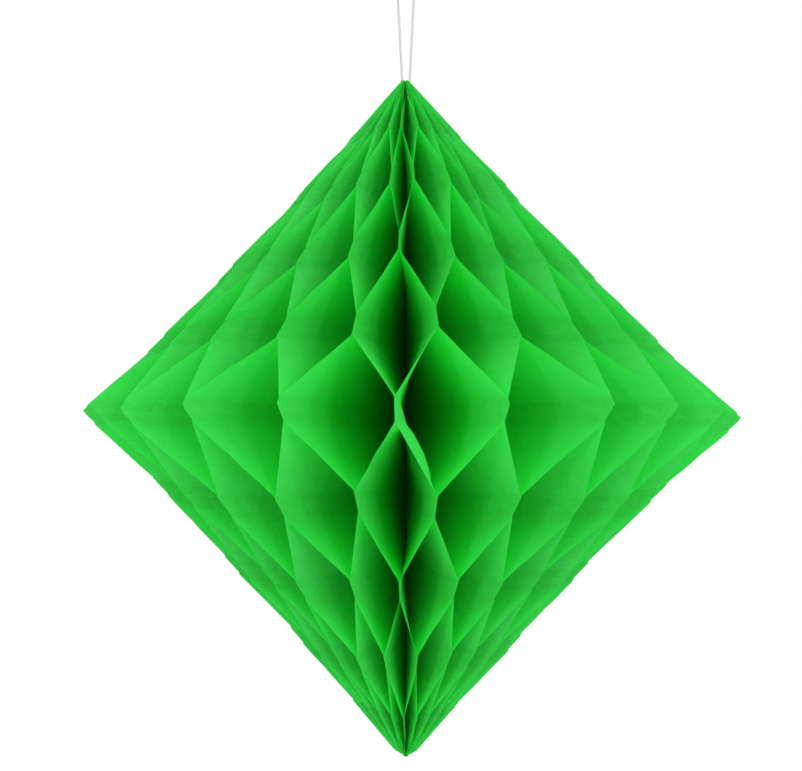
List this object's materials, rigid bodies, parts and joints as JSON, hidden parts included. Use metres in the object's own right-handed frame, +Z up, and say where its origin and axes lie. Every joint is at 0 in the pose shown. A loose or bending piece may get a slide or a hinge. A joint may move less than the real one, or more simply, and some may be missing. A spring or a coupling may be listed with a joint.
{
  "type": "honeycomb paper diamond",
  "caption": "Hanging paper diamond: glued tissue leaves fan round a spine and open into honeycomb cells, with card covers behind and a string loop.",
  "frame": {"origin": "the point where the top of the string loop bears on its hook", "axes": "+Z up, along the spine from the lower tip to the upper tip; -Y towards the front, away from the seam where the covers meet; +X to the right seen from the front"},
  "size_m": [0.1784, 0.1786, 0.2347],
  "materials": {
    "tissue": "matt bright green tissue paper, thin enough to let light through",
    "cover_card": "matt green card",
    "spine_glue": "bound tissue edges under dry glue",
    "adhesive": "thin double-sided adhesive tape",
    "string": "twisted white cotton string"
  },
  "bodies": {
    "root": {"leaf_01": "tissue", "leaf_02": "tissue", "leaf_03": "tissue", "leaf_04": "tissue", "leaf_05": "tissue", "leaf_06": "tissue", "leaf_07": "tissue", "leaf_08": "tissue", "leaf_09": "tissue", "leaf_10": "tissue", "leaf_11": "tissue", "leaf_12": "tissue", "leaf_13": "tissue", "leaf_14": "tissue", "leaf_15": "tissue", "leaf_16": "tissue", "leaf_17": "tissue", "leaf_18": "tissue", "leaf_19": "tissue", "leaf_20": "tissue", "leaf_21": "tissue", "leaf_22": "tissue", "leaf_23": "tissue", "leaf_24": "tissue", "leaf_25": "tissue", "leaf_26": "tissue", "leaf_27": "tissue", "leaf_28": "tissue", "leaf_29": "tissue", "leaf_30": "tissue", "leaf_31": "tissue", "leaf_32": "tissue", "leaf_33": "tissue", "leaf_34": "tissue", "leaf_35": "tissue", "leaf_36": "tissue", "leaf_37": "tissue", "leaf_38": "tissue", "leaf_39": "tissue", "leaf_40": "tissue", "leaf_41": "tissue", "leaf_42": "tissue", "leaf_43": "tissue", "leaf_44": "tissue", "leaf_45": "tissue", "leaf_46": "tissue", "leaf_47": "tissue", "leaf_48": "tissue", "leaf_49": "tissue", "leaf_50": "tissue", "leaf_51": "tissue", "leaf_52": "tissue", "leaf_53": "tissue", "leaf_54": "tissue", "spine": "spine_glue", "cover_left": "cover_card", "cover_right": "cover_card", "adhesive_tab_upper": "adhesive", "adhesive_tab_lower": "adhesive", "hanging_string": "string"}
  },
  "joints": []
}
